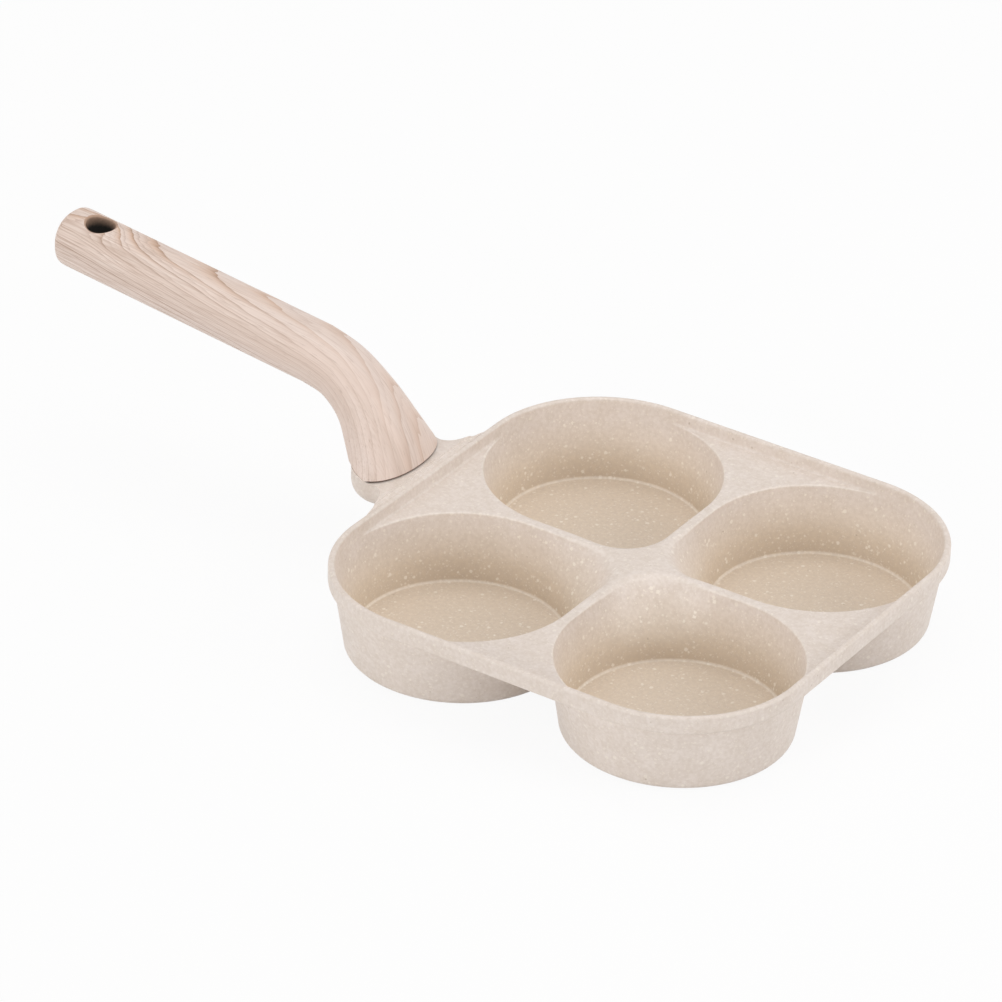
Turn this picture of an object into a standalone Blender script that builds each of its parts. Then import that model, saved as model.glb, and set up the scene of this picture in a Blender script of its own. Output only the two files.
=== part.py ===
"""Four-cup egg pan with a fixed handle.

A die-cast aluminium body holds four deep round cups under a recessed deck with a raised rim. The moulded
handle stands on a flared seat at the middle of one side and is held by one screw from below, which runs
into a brass insert. A steel disc is pressed into the base of each cup.

The frame: +Z is up, the handle runs toward -X, Z = 0 is the surface that the pan stands on, and the origin
is at the middle of the whole pan's length and width. Lengths are metres and angles are radians.
"""

import math

import bmesh
import bpy
from mathutils import Matrix, Vector

# The cups
CUP_OFFSET = 0.053            # from the pan's middle lines to each cup's centre
FLOOR_RADIUS = 0.0447         # at the foot of the cup's inner wall
WALL_DRAFT = math.radians(11.6)
FLOOR_FILLET = 0.0012         # between the cup's floor and its wall
INNER_CORNER_RADIUS = 0.0222  # the opening's corner toward the pan's middle
FLARE_START = 0.0060          # above the floor, where the wall starts to flare toward that corner
FLARE_POWER = 1.3             # above 1 the flare grows faster near the deck
CORNER_ANGLE = math.radians(225)  # the way to that corner, in the cup of the pan's +X +Y quarter
DECK_EDGE_ROUND = 0.0009      # where a cup's wall turns into the deck
CORNER_EDGE_ROUND = 0.0040    # and at the corner toward the pan's middle
RIM_BLEND = (-0.35, 0.15)     # round a cup, between these shares of its radius, rim gives way to deck
CUP_SIDES = 48

# The casting's thickness
BASE_Z = 0.0004               # the casting's base: the steel discs stand this far below it
FLOOR_THICKNESS = 0.0020      # above the steel disc
WALL_FOOT = 0.0033            # the cup's wall at its foot
WALL_TOP = 0.0018             # and under the deck
DECK_THICKNESS = 0.0025
BASE_FILLET = 0.0030          # outside, between the base and the cup's wall
DECK_FILLET = 0.0013          # outside, between the cup's wall and the deck's underside

# The deck and the rim
DECK_HEIGHT = 0.0330          # the deck's top face above the table
RIM_RISE = 0.0055             # the rim's top above the deck
RIM_THICKNESS = 0.0026
RIM_TOP_ROUND = 0.0008
SKIRT_ROUND = 0.0014          # the rim's lower outer edge
RIM_CORNER_SIDES = 14
ROUND_STEPS = 3               # facets across a rounded edge
WALL_OVERCUT = 0.00015        # the cups' walls cut this far into the rim, so that they run up it unbroken

# The steel discs
FOOT_RING = 0.0070            # the casting's flat foot ring round each disc
DISC_THICKNESS = 0.0010
DISC_EDGE = 0.0003
DISC_SIDES = 40

# The handle seat
SEAT_RISE = 0.0015            # the seat's front ledge above the rim
SEAT_REACH = 0.0030           # from the rim out to the foot of the handle
LIP_REACH = 0.0125            # from the rim out to where the seat's face starts to climb to its rear lip
LIP_RUN = 0.0115              # the length of that climb
LIP_RISE = 0.0040
FOOT_HALF_WIDTH = 0.0252      # the handle's foot, across the pan
FOOT_HALF_DEPTH = 0.0130      # and away from it
NECK_HALF_WIDTH = 0.0232      # the seat between the handle's foot and the rim
NECK_BLEND = 0.0030           # how softly the foot's oval gives way to the flare
ROOT_HALF_WIDTH = 0.0440      # the seat where it flares into the rim
ROOT_FLARE = 0.0028           # how quickly it flares: the distance over which the flare fades
LEVEL_HALF_WIDTH = 0.0178     # beyond this the flare's top falls away sideways
SIDE_FALL = 0.0010            # by this much at its ends
SEAT_CORNER = 0.0015          # the flare's upper edges, at the rim
SEAT_SQUARENESS = 2.8         # of the bowl under the seat: 2 is an ellipse, and more is squarer
SEAT_STRAIGHT = 0.9           # the bowl starts this share of the way up the seat's side
SEAT_SIDES = 24
# The corners across the seat's top, as shares of its half width
SEAT_TOP_SHARES = (0.86, 0.74, 0.6, 0.45, 0.2, -0.2, -0.45, -0.6, -0.74, -0.86)
SEAT_RINGS = 17
# The bowl under the handle's foot, from the back to the front:
# place along the foot as a share of its half depth, depth below the seat's front ledge
BOWL = [
    (0.985, 0.0008),
    (0.85, 0.0052),
    (0.52, 0.0107),
    (0.02, 0.0143),
    (-0.48, 0.0155),
    (-0.83, 0.0148),
    (-1.0, 0.0138),
]
# From there in to the deck: place as a share of SEAT_REACH, top above the rim as a share of SEAT_RISE,
# and the bottom's share of the way from the bowl up to the deck's underside
ROOT = [
    (0.5, 0.85, 0.1),
    (0.07, 0.3, 0.3),
    (-0.45, -0.4, 0.6),
    (-2.2, -2.0, 1.0),
]

# The grip
GRIP_TILT = math.radians(6.9)
GRIP_HALF_WIDTH = 0.0138
GRIP_HALF_THICKNESS = 0.0123
GRIP_SQUARENESS = 2.3         # 2 is an ellipse, and more is squarer
GRIP_END_REACH = 0.1807       # from the rim to where the grip's domed end starts
GRIP_END_TILT = 0.0           # that end stands upright
GRIP_END_DOME = 0.0058
END_SQUARENESS = 5.0          # of the dome, seen from the side
DOME_RINGS = 5
DOME_FIRST_TURN = math.radians(8)
GRIP_RINGS = 6
GRIP_SIDES = 32
HANG_HOLE_RADIUS = 0.0064
HANG_HOLE_FROM_TIP = 0.0150
# The bend, from the straight grip down to the foot: distance from the foot's middle, height above the
# seat, tilt in degrees, half width, half depth, squareness
BEND = [
    (0.0400, 0.0367, math.degrees(GRIP_TILT), 0.0130, 0.0127, GRIP_SQUARENESS),
    (0.0266, 0.0325, 26, 0.0132, 0.0122, GRIP_SQUARENESS),
    (0.0152, 0.0234, 46, 0.0149, 0.0124, 2.25),
    (0.0069, 0.0118, 66, 0.0190, 0.0133, 2.2),
]
FOOT_SQUARENESS = 2.1
FOOT_OVERCUT = 0.006          # the foot is made this much longer, then cut to the seat
BEND_RINGS = 14

# The fasteners
SCREW_RADIUS = 0.0022
SCREW_LENGTH = 0.0200
SCREW_POINT = 0.0008
SCREW_HEAD_RADIUS = 0.0047
SCREW_HEAD_HEIGHT = 0.0036
SCREW_HEAD_EDGE = 0.0013      # the straight part of the head, under its dome
SCREW_SLOT_WIDTH = 0.0012
SCREW_SLOT_DEPTH = 0.0016
SEAT_WALL = 0.0068            # from the insert's seat down to the face that the washers press on
WASHER_RADIUS = 0.0050
PLAIN_WASHER_THICKNESS = 0.0010
SPRING_WASHER_THICKNESS = 0.0013
SPRING_WASHER_SPLIT = 0.0012
SPLIT_TURN = math.radians(12)
INSERT_RADIUS = 0.0040
INSERT_LENGTH = 0.0115
INSERT_GROOVE = 0.0005
GROOVE_SHARES = (0.25, 0.4, 0.6, 0.75)  # where the insert's two grooves start and end along it
FASTENER_SIDES = 24

# Clearances
FIT = 0.0003                  # between two pieces that touch
SCREW_CLEARANCE = 0.0006      # round the screw where it passes the casting and the washers
DRIVER_CLEARANCE = 0.0009     # round the screw's head and washers in their bore

FLOOR_Z = DISC_THICKNESS + FIT + FLOOR_THICKNESS
RIM_Z = DECK_HEIGHT + RIM_RISE
DECK_UNDERSIDE = DECK_HEIGHT - DECK_THICKNESS
INNER_RADIUS = FLOOR_RADIUS + (DECK_HEIGHT - FLOOR_Z) * math.tan(WALL_DRAFT)
RIM_INNER_RADIUS = FLOOR_RADIUS + (RIM_Z - FLOOR_Z) * math.tan(WALL_DRAFT)
RIM_OUTER_RADIUS = RIM_INNER_RADIUS + RIM_THICKNESS
HALF_WIDTH = CUP_OFFSET + RIM_OUTER_RADIUS
BASE_RADIUS = FLOOR_RADIUS + WALL_FOOT - BASE_FILLET
DISC_RADIUS = BASE_RADIUS - FOOT_RING
SEAT_Z = RIM_Z + SEAT_RISE
FOOT_OUT = SEAT_REACH + FOOT_HALF_DEPTH
INSERT_Z = SEAT_Z + LIP_RISE * (FOOT_OUT + INSERT_RADIUS + FIT - LIP_REACH) / LIP_RUN  # clear of the climb
BEND_OUT = FOOT_OUT + BEND[0][0]
BEND_Z = SEAT_Z + BEND[0][1]

PARTS = "four_cup_egg_pan"
CUTTERS = "cutters"
QUARTERS = {"front_left": (-1, -1), "front_right": (1, -1), "rear_left": (-1, 1), "rear_right": (1, 1)}


def collection(name):
    """A new collection in the scene."""
    made = bpy.data.collections.new(name)
    bpy.context.scene.collection.children.link(made)


def material(name, colour, roughness, metallic=0.0):
    """A plain finish for one kind of piece."""
    made = bpy.data.materials.new(name)
    made.use_nodes = True
    shader = made.node_tree.nodes["Principled BSDF"]
    shader.inputs["Base Color"].default_value = (*colour, 1.0)
    shader.inputs["Roughness"].default_value = roughness
    shader.inputs["Metallic"].default_value = metallic
    return made


def place(data, name, group, parent):
    """Put mesh data, or nothing for a plain marker, in the scene as a named object."""
    made = bpy.data.objects.new(name, data)
    bpy.data.collections[group].objects.link(made)
    made.parent = parent
    return made


def piece(data, name, finish, parent):
    """One finished piece of the pan."""
    data.materials.append(finish)
    return place(data, name, PARTS, parent)


def cutter(data, name, parent):
    """A helper body, which shapes a piece and isn't part of the model."""
    made = place(data, name, CUTTERS, parent)
    made.hide_render = True
    made.display_type = "WIRE"
    return made


def from_bmesh(shape, name):
    """Finish a bmesh as mesh data, with its faces pointing out."""
    bmesh.ops.recalc_face_normals(shape, faces=shape.faces)
    data = bpy.data.meshes.new(name)
    shape.to_mesh(data)
    shape.free()
    return data


def loft(rings, name):
    """A closed body through rings of points, with a flat cap on the first and the last."""
    shape = bmesh.new()
    loops = [[shape.verts.new(point) for point in ring] for ring in rings]
    for lower, upper in zip(loops, loops[1:]):
        for index, corner in enumerate(lower):
            after = (index + 1) % len(lower)
            shape.faces.new((corner, lower[after], upper[after], upper[index]))
    shape.faces.new(loops[0][::-1])
    shape.faces.new(loops[-1])
    return from_bmesh(shape, name)


def turned(profile, name, sides, finish, parent):
    """A piece turned about Z from a closed profile of (radius, height), made with a Screw modifier."""
    shape = bmesh.new()
    corners = [shape.verts.new((radius, 0, height)) for radius, height in profile]
    on_axis = profile[0][0] == 0 and profile[-1][0] == 0
    last = len(corners) - 1 if on_axis else len(corners)
    for index in range(last):
        shape.edges.new((corners[index], corners[(index + 1) % len(corners)]))
    data = bpy.data.meshes.new(name)
    shape.to_mesh(data)
    shape.free()
    made = piece(data, name, finish, parent)
    screw = made.modifiers.new("turn", "SCREW")
    screw.steps = sides
    screw.render_steps = sides
    screw.use_merge_vertices = True
    screw.merge_threshold = 0.00001
    return made


def cylinder(name, radius, bottom, top, sides):
    """Mesh data for a plain cylinder on Z."""
    shape = bmesh.new()
    middle = Matrix.Translation((0, 0, (bottom + top) / 2))
    bmesh.ops.create_cone(shape, cap_ends=True, segments=sides, radius1=radius, radius2=radius,
                          depth=top - bottom, matrix=middle)
    return from_bmesh(shape, name)


def block(name, length, width, bottom, top):
    """Mesh data for a box centred on Z."""
    shape = bmesh.new()
    middle = Matrix.Translation((0, 0, (bottom + top) / 2))
    size = Matrix.Diagonal((length, width, top - bottom, 1))
    bmesh.ops.create_cube(shape, size=1, matrix=middle @ size)
    return from_bmesh(shape, name)


def rounded_slab(half_width, bottom, top, corner):
    """A square slab with round upright corners, centred on the pan's middle, as a bmesh."""
    shape = bmesh.new()
    middle = Matrix.Translation((0, 0, (bottom + top) / 2))
    size = Matrix.Diagonal((2 * half_width, 2 * half_width, top - bottom, 1))
    bmesh.ops.create_cube(shape, size=1, matrix=middle @ size)
    upright = [edge for edge in shape.edges if abs(edge.verts[0].co.z - edge.verts[1].co.z) > FIT]
    bmesh.ops.bevel(shape, geom=upright, offset=corner, segments=RIM_CORNER_SIDES, profile=0.5,
                    affect="EDGES")
    return shape


def round_level_edges(shape, height, radius):
    """Round the edges of a slab that lie at one height."""
    level = [edge for edge in shape.edges if all(abs(vert.co.z - height) < FIT / 10 for vert in edge.verts)]
    bmesh.ops.bevel(shape, geom=level, offset=radius, segments=ROUND_STEPS, profile=0.5, affect="EDGES")


def boolean(target, helper, operation):
    """Join a helper body to a piece, or cut it out."""
    modifier = target.modifiers.new(f"{operation.lower()} {helper.name}", "BOOLEAN")
    modifier.operation = operation
    modifier.solver = "EXACT"
    modifier.object = helper


def smooth(made, angle=math.radians(35)):
    """Shade a body smooth, apart from its sharp edges."""
    made.data.shade_smooth()
    made.data.set_sharp_from_angle(angle=angle)


def ease(amount):
    """Zero to one with level ends."""
    held = min(1.0, max(0.0, amount))
    return held * held * (3 - 2 * held)


def arc(centre, radius, first, last, count):
    """Points round part of a circle, between two angles in degrees."""
    points = []
    for step in range(count):
        angle = math.radians(first + (last - first) * step / (count - 1))
        points.append((centre[0] + radius * math.cos(angle), centre[1] + radius * math.sin(angle)))
    return points


def opening_reach(angle, half_width, corner):
    """How far a cup's opening reaches from the cup's centre at an angle.

    The opening is a circle on its outer sides. Toward the pan's middle, where both of the direction's
    parts are negative, it is a square corner with its own radius.
    """
    across = -math.cos(angle)
    along = -math.sin(angle)
    if across <= 0 or along <= 0:
        return half_width
    centre = half_width - corner
    flat = half_width / max(across, along)
    if flat * min(across, along) <= centre:
        return flat
    spread = centre * (across + along)
    return spread + math.sqrt(spread * spread - 2 * centre * centre + corner * corner)


def corner_share(angle):
    """One toward the opening's inner corner, and zero on its round sides."""
    flare = opening_reach(angle, INNER_RADIUS, INNER_CORNER_RADIUS) - INNER_RADIUS
    return flare / (opening_reach(CORNER_ANGLE, INNER_RADIUS, INNER_CORNER_RADIUS) - INNER_RADIUS)


def deck_beside(angle):
    """One where a cup's wall meets the deck, and zero where it runs up the rim."""
    toward_middle = max(-math.cos(angle), -math.sin(angle))
    return ease((toward_middle - RIM_BLEND[0]) / (RIM_BLEND[1] - RIM_BLEND[0]))


def wall_reach(angle, height, foot, thickness):
    """The cup wall's distance from the cup's centre: a cone that flares toward the inner corner."""
    share = (height - FLOOR_Z) / (DECK_HEIGHT - FLOOR_Z)
    cone = foot + (INNER_RADIUS + thickness - foot) * share
    flare = opening_reach(angle, INNER_RADIUS, INNER_CORNER_RADIUS) - INNER_RADIUS
    climb = (height - FLOOR_Z - FLARE_START) / (DECK_HEIGHT - FLOOR_Z - FLARE_START)
    return cone + flare * max(0.0, climb) ** FLARE_POWER


def cup_loft(profile, side_x, side_y, name):
    """A body round a cup's axis, from a function that gives the profile at each angle.

    The angles are mirrored into the cup's own quarter of the pan.
    """
    profiles = [profile(2 * math.pi * index / CUP_SIDES) for index in range(CUP_SIDES)]
    rings = []
    for level in range(len(profiles[0])):
        ring = []
        for index, points in enumerate(profiles):
            angle = 2 * math.pi * index / CUP_SIDES
            reach, height = points[level]
            along_x = side_x * (CUP_OFFSET + reach * math.cos(angle))
            along_y = side_y * (CUP_OFFSET + reach * math.sin(angle))
            ring.append(Vector((along_x, along_y, height)))
        rings.append(ring)
    return loft(rings, name)


def deck_roll(low, corner, edge):
    """A soft curve from the top of a cup's wall over its corner onto the deck."""
    points = []
    for share in (0.33, 0.67, 1.0):
        weights = ((1 - share) ** 2, 2 * share * (1 - share), share ** 2)
        points.append(tuple(sum(weight * value for weight, value in zip(weights, values))
                            for values in zip(low, corner, edge)))
    return points


def cavity_profile(angle):
    """The inside of a cup at one angle, as (distance from the axis, height), from the floor up."""
    def wall(height):
        return wall_reach(angle, height, FLOOR_RADIUS, 0.0)

    points = arc((FLOOR_RADIUS - FLOOR_FILLET, FLOOR_Z + FLOOR_FILLET), FLOOR_FILLET, -90, -10, ROUND_STEPS)
    roll = DECK_EDGE_ROUND + (CORNER_EDGE_ROUND - DECK_EDGE_ROUND) * corner_share(angle) ** 2
    low = FLOOR_Z + FLARE_START
    high = DECK_HEIGHT - roll
    for height in (low, (low + high) / 2, high):
        points.append((wall(height), height))
    edge = wall(DECK_HEIGHT) + roll * deck_beside(angle)
    points += deck_roll((wall(high), high), (wall(DECK_HEIGHT), DECK_HEIGHT), (edge, DECK_HEIGHT))
    rise = FLOOR_RADIUS + (RIM_Z - RIM_TOP_ROUND - FLOOR_Z) * math.tan(WALL_DRAFT)
    rise += (edge - rise) * deck_beside(angle)
    points += arc((rise + RIM_TOP_ROUND, RIM_Z - RIM_TOP_ROUND), RIM_TOP_ROUND, 180, 100, ROUND_STEPS)
    points.append((rise + RIM_TOP_ROUND, RIM_Z + RIM_RISE))
    return points


def body_profile(angle):
    """The outside of a cup at one angle, from the recess for the steel disc up to the deck."""
    def wall(height):
        return wall_reach(angle, height, FLOOR_RADIUS + WALL_FOOT, WALL_TOP)

    points = [(DISC_RADIUS + FIT, DISC_THICKNESS + FIT), (DISC_RADIUS + FIT, BASE_Z)]
    points += arc((BASE_RADIUS, BASE_Z + BASE_FILLET), BASE_FILLET, -90, -3, ROUND_STEPS)
    low = FLOOR_Z + FLARE_START
    high = DECK_UNDERSIDE - DECK_FILLET
    for height in (low, (low + high) / 2, high):
        points.append((wall(height), height))
    points += arc((wall(high) + DECK_FILLET, high), DECK_FILLET, 135, 100, 2)
    points.append((points[-1][0], DECK_UNDERSIDE + DECK_THICKNESS / 2))
    return points


def between(keys, position):
    """A smooth value through evenly spaced keys, at a position counted in keys."""
    count = len(keys)
    first = min(count - 2, max(0, int(position)))
    share = position - first
    before = keys[max(0, first - 1)]
    start = keys[first]
    end = keys[first + 1]
    after = keys[min(count - 1, first + 2)]
    leave = (end - before) / 2
    arrive = (after - start) / 2
    square = share * share
    cube = square * share
    return ((2 * cube - 3 * square + 1) * start + (cube - 2 * square + share) * leave
            + (3 * square - 2 * cube) * end + (cube - square) * arrive)


def section(out, height, tilt, half_width, half_depth, squareness):
    """One ring of the handle: an oval across the pan, tilted about Y.

    out is the distance from the rim, and tilt is how steeply the handle runs down there.
    """
    centre = Vector((-HALF_WIDTH - out, 0, height))
    depth_way = Vector((math.sin(tilt), 0, math.cos(tilt)))
    width_way = Vector((0, -1, 0))
    ring = []
    for index in range(GRIP_SIDES):
        angle = 2 * math.pi * index / GRIP_SIDES
        cosine = math.cos(angle)
        sine = math.sin(angle)
        power = 2 / squareness
        wide = half_width * math.copysign(abs(cosine) ** power, cosine)
        deep = half_depth * math.copysign(abs(sine) ** power, sine)
        ring.append(centre + width_way * wide + depth_way * deep)
    return ring


def through(keys, count):
    """Rows of values, smooth through a list of key rows."""
    rows = []
    for step in range(count + 1):
        position = (len(keys) - 1) * step / count
        rows.append([between([key[field] for key in keys], position) for field in range(len(keys[0]))])
    return rows


def seat_keys():
    """The seat's key sections, from behind the handle's foot in to the deck.

    Each one is (distance from the rim, top, bottom). The tops over the foot are cut to the seat later.
    """
    uncut = SEAT_Z + FOOT_OVERCUT
    keys = [(FOOT_OUT + place_along * FOOT_HALF_DEPTH, uncut, SEAT_Z - depth) for place_along, depth in BOWL]
    bowl_front = keys[-1][2]
    for reach, rise, climb in ROOT:
        bottom = bowl_front + (DECK_UNDERSIDE + FIT / 2 - bowl_front) * climb
        keys.append((reach * SEAT_REACH, RIM_Z + rise * SEAT_RISE, bottom))
    return keys


def flare_share(out):
    """How far the seat has flared: all the way at the rim, and next to nothing under the handle's foot."""
    return math.exp(-max(0.0, out) / ROOT_FLARE)


def seat_half_width(out):
    """Half the seat's width: the foot's own oval at the back, flaring out to the rim in front."""
    part = abs(out - FOOT_OUT) / FOOT_HALF_DEPTH
    oval = FOOT_HALF_WIDTH * max(0.0, 1 - part ** FOOT_SQUARENESS) ** (1 / FOOT_SQUARENESS)
    if out > FOOT_OUT:
        return oval
    flare = NECK_HALF_WIDTH + (ROOT_HALF_WIDTH - NECK_HALF_WIDTH) * flare_share(out)
    meeting = max(0.0, NECK_BLEND - abs(oval - flare)) / NECK_BLEND
    return max(oval, flare) + NECK_BLEND * meeting * meeting / 4


def seat_top(out, across, top):
    """The seat's height at a distance across the pan: a little over the faces it is cut to, or less."""
    uncut = SEAT_Z - FIT / 3 + max(0.0, out - LIP_REACH)
    room = max(FIT, seat_half_width(out) - LEVEL_HALF_WIDTH)
    share = max(0.0, abs(across) - LEVEL_HALF_WIDTH) / room
    return min(top, uncut) - SIDE_FALL * share * share * flare_share(out)


def seat_section(out, top, bottom):
    """One upright ring of the seat: a bowl below, straight sides, and a top with small round corners."""
    half_width = seat_half_width(out)
    corner = min(SEAT_CORNER * flare_share(out) + FIT / 10, half_width / 3)
    side = seat_top(out, half_width - corner, top) - corner
    middle = min(side, bottom + (min(top, SEAT_Z) - bottom) * SEAT_STRAIGHT)
    power = 2 / SEAT_SQUARENESS
    ring = []
    for index in range(SEAT_SIDES // 2 + 1):
        angle = math.pi * (1 + 2 * index / SEAT_SIDES)
        across = half_width * math.copysign(abs(math.cos(angle)) ** power, math.cos(angle))
        ring.append((across, middle - (middle - bottom) * abs(math.sin(angle)) ** power))
    ring += arc((half_width - corner, side), corner, 15, 75, ROUND_STEPS)
    for share in SEAT_TOP_SHARES:
        ring.append((share * half_width, seat_top(out, share * half_width, top)))
    ring += arc((corner - half_width, side), corner, 105, 165, ROUND_STEPS)
    return [Vector((-HALF_WIDTH - out, across, height)) for across, height in ring]


def grip_height(out):
    """The straight grip's middle line above the table, at a distance from the rim."""
    return BEND_Z + (out - BEND_OUT) * math.tan(GRIP_TILT)


def dome_steps():
    """The grip's domed end, as (distance past the grip, size as a share of the grip's) from the tip."""
    steps = []
    for step in range(DOME_RINGS):
        turn = DOME_FIRST_TURN + (math.pi / 2 - DOME_FIRST_TURN) * step / (DOME_RINGS - 1)
        power = 2 / END_SQUARENESS
        steps.append((GRIP_END_DOME * math.cos(turn) ** power, math.sin(turn) ** power))
    return steps


def pan_x():
    """Where the pan's middle stands, so that the origin is at the middle of the whole length."""
    overhang = max(back * math.cos(GRIP_TILT) + scale * GRIP_HALF_THICKNESS * math.sin(GRIP_END_TILT)
                   for back, scale in dome_steps())
    return (GRIP_END_REACH + overhang) / 2


def grip_rings():
    """The handle's rings: its domed end, the straight grip, the bend and the foot."""
    rings = []
    for back, scale in dome_steps():
        rings.append(section(GRIP_END_REACH + back * math.cos(GRIP_TILT),
                             grip_height(GRIP_END_REACH) + back * math.sin(GRIP_TILT), GRIP_END_TILT,
                             GRIP_HALF_WIDTH * scale, GRIP_HALF_THICKNESS * scale, GRIP_SQUARENESS))
    for step in range(1, GRIP_RINGS):
        share = step / GRIP_RINGS
        out = GRIP_END_REACH + (BEND_OUT - GRIP_END_REACH) * share
        half_width = GRIP_HALF_WIDTH + (BEND[0][3] - GRIP_HALF_WIDTH) * share
        half_depth = GRIP_HALF_THICKNESS + (BEND[0][4] - GRIP_HALF_THICKNESS) * share
        rings.append(section(out, grip_height(out), GRIP_TILT, half_width, half_depth, GRIP_SQUARENESS))
    keys = [(FOOT_OUT + out, SEAT_Z + rise, tilt, *oval) for out, rise, tilt, *oval in BEND]
    for height in (SEAT_Z, SEAT_Z - FOOT_OVERCUT):
        keys.append((FOOT_OUT, height, 90, FOOT_HALF_WIDTH, FOOT_HALF_DEPTH, FOOT_SQUARENESS))
    for out, height, tilt, half_width, half_depth, squareness in through(keys, BEND_RINGS):
        rings.append(section(out, height, math.radians(tilt), half_width, half_depth, squareness))
    return rings


def seat_prism(name, offset, upper):
    """The space above or below the seat's faces: level in front, then climbing to the level rear lip."""
    foot = Vector((-HALF_WIDTH - LIP_REACH, 0, SEAT_Z + offset))
    reach = 3 * FOOT_HALF_DEPTH
    front = foot + Vector((reach, 0, 0))
    lip = foot + Vector((-LIP_RUN, 0, LIP_RISE))
    rear = lip - Vector((reach, 0, 0))
    far = Vector((0, 0, reach if upper else -reach))
    outline = [front, foot, lip, rear, rear + far, front + far]
    side = Vector((0, 2 * FOOT_HALF_WIDTH, 0))
    return loft([[corner - side for corner in outline], [corner + side for corner in outline]], name)


def build_casting(finish, origin, screw_axis):
    """The deck and its rim, which take on the cups and the seat and are then hollowed out."""
    slab = rounded_slab(HALF_WIDTH, DECK_UNDERSIDE, RIM_Z, RIM_OUTER_RADIUS)
    round_level_edges(slab, RIM_Z, RIM_TOP_ROUND)
    round_level_edges(slab, DECK_UNDERSIDE, SKIRT_ROUND)
    casting = piece(from_bmesh(slab, "pan_casting"), "pan_casting", finish, origin)

    for quarter, (side_x, side_y) in QUARTERS.items():
        name = f"cup_{quarter}"
        boolean(casting, cutter(cup_loft(body_profile, side_x, side_y, name), name, origin), "UNION")

    rows = through(seat_keys(), SEAT_RINGS)
    seat = cutter(loft([seat_section(*row) for row in rows], "seat"), "seat", origin)
    boolean(seat, cutter(seat_prism("above_seat", -FIT / 2, True), "above_seat", origin), "DIFFERENCE")
    boolean(casting, seat, "UNION")

    inner = RIM_INNER_RADIUS - WALL_OVERCUT
    pocket = from_bmesh(rounded_slab(CUP_OFFSET + inner, DECK_HEIGHT, RIM_Z + RIM_RISE, inner), "deck_pocket")
    boolean(casting, cutter(pocket, "deck_pocket", origin), "DIFFERENCE")
    for quarter, (side_x, side_y) in QUARTERS.items():
        name = f"cavity_{quarter}"
        boolean(casting, cutter(cup_loft(cavity_profile, side_x, side_y, name), name, origin), "DIFFERENCE")

    shank_hole = cylinder("shank_hole", SCREW_RADIUS + SCREW_CLEARANCE, -2 * SEAT_WALL, SEAT_WALL,
                          FASTENER_SIDES)
    head_bore = cylinder("head_bore", WASHER_RADIUS + DRIVER_CLEARANCE, -SEAT_WALL - SCREW_LENGTH, -SEAT_WALL,
                         FASTENER_SIDES)
    for bore in (shank_hole, head_bore):
        boolean(casting, cutter(bore, bore.name, screw_axis), "DIFFERENCE")
    smooth(casting)


def build_handle(finish, origin, screw_axis):
    """The handle, with its foot cut to the seat's faces, its hang hole and its socket for the insert."""
    grip = piece(loft(grip_rings(), "handle_grip"), "handle_grip", finish, origin)
    boolean(grip, cutter(seat_prism("below_seat", FIT / 2, False), "below_seat", origin), "DIFFERENCE")

    hole_data = cylinder("hang_hole", HANG_HOLE_RADIUS, -2 * GRIP_HALF_THICKNESS, 2 * GRIP_HALF_THICKNESS,
                         FASTENER_SIDES)
    hole = cutter(hole_data, "hang_hole", origin)
    hole_out = GRIP_END_REACH + GRIP_END_DOME - HANG_HOLE_FROM_TIP
    hole.location = (-HALF_WIDTH - hole_out, 0, grip_height(hole_out))
    hole.rotation_euler = (0, GRIP_TILT, 0)
    boolean(grip, hole, "DIFFERENCE")

    socket = cylinder("insert_socket", INSERT_RADIUS + FIT, -SEAT_WALL, INSERT_LENGTH + 2 * FIT,
                      FASTENER_SIDES)
    boolean(grip, cutter(socket, socket.name, screw_axis), "DIFFERENCE")
    smooth(grip)


def build_washers(finish, screw_axis):
    """The plain washer under the seat's wall and the split spring washer under it. Returns its lower face."""
    bore = SCREW_RADIUS + SCREW_CLEARANCE
    plain_top = -SEAT_WALL - FIT
    plain_low = plain_top - PLAIN_WASHER_THICKNESS
    smooth(turned([(WASHER_RADIUS, plain_top), (WASHER_RADIUS, plain_low), (bore, plain_low),
                   (bore, plain_top)], "plain_washer", FASTENER_SIDES, finish, screw_axis))

    spring_top = plain_low - FIT
    spring_low = spring_top - SPRING_WASHER_THICKNESS
    radius = SCREW_HEAD_RADIUS
    spring = turned([(radius, spring_top), (radius, spring_low), (bore, spring_low), (bore, spring_top)],
                    "spring_washer", FASTENER_SIDES, finish, screw_axis)
    split_data = block("spring_split", 2 * radius, SPRING_WASHER_SPLIT, spring_low - FIT, spring_top + FIT)
    split = cutter(split_data, "spring_split", screw_axis)
    split.location = (radius, 0, 0)
    split.rotation_euler = (SPLIT_TURN, 0, 0)
    boolean(spring, split, "DIFFERENCE")
    smooth(spring)
    return spring_low


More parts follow.
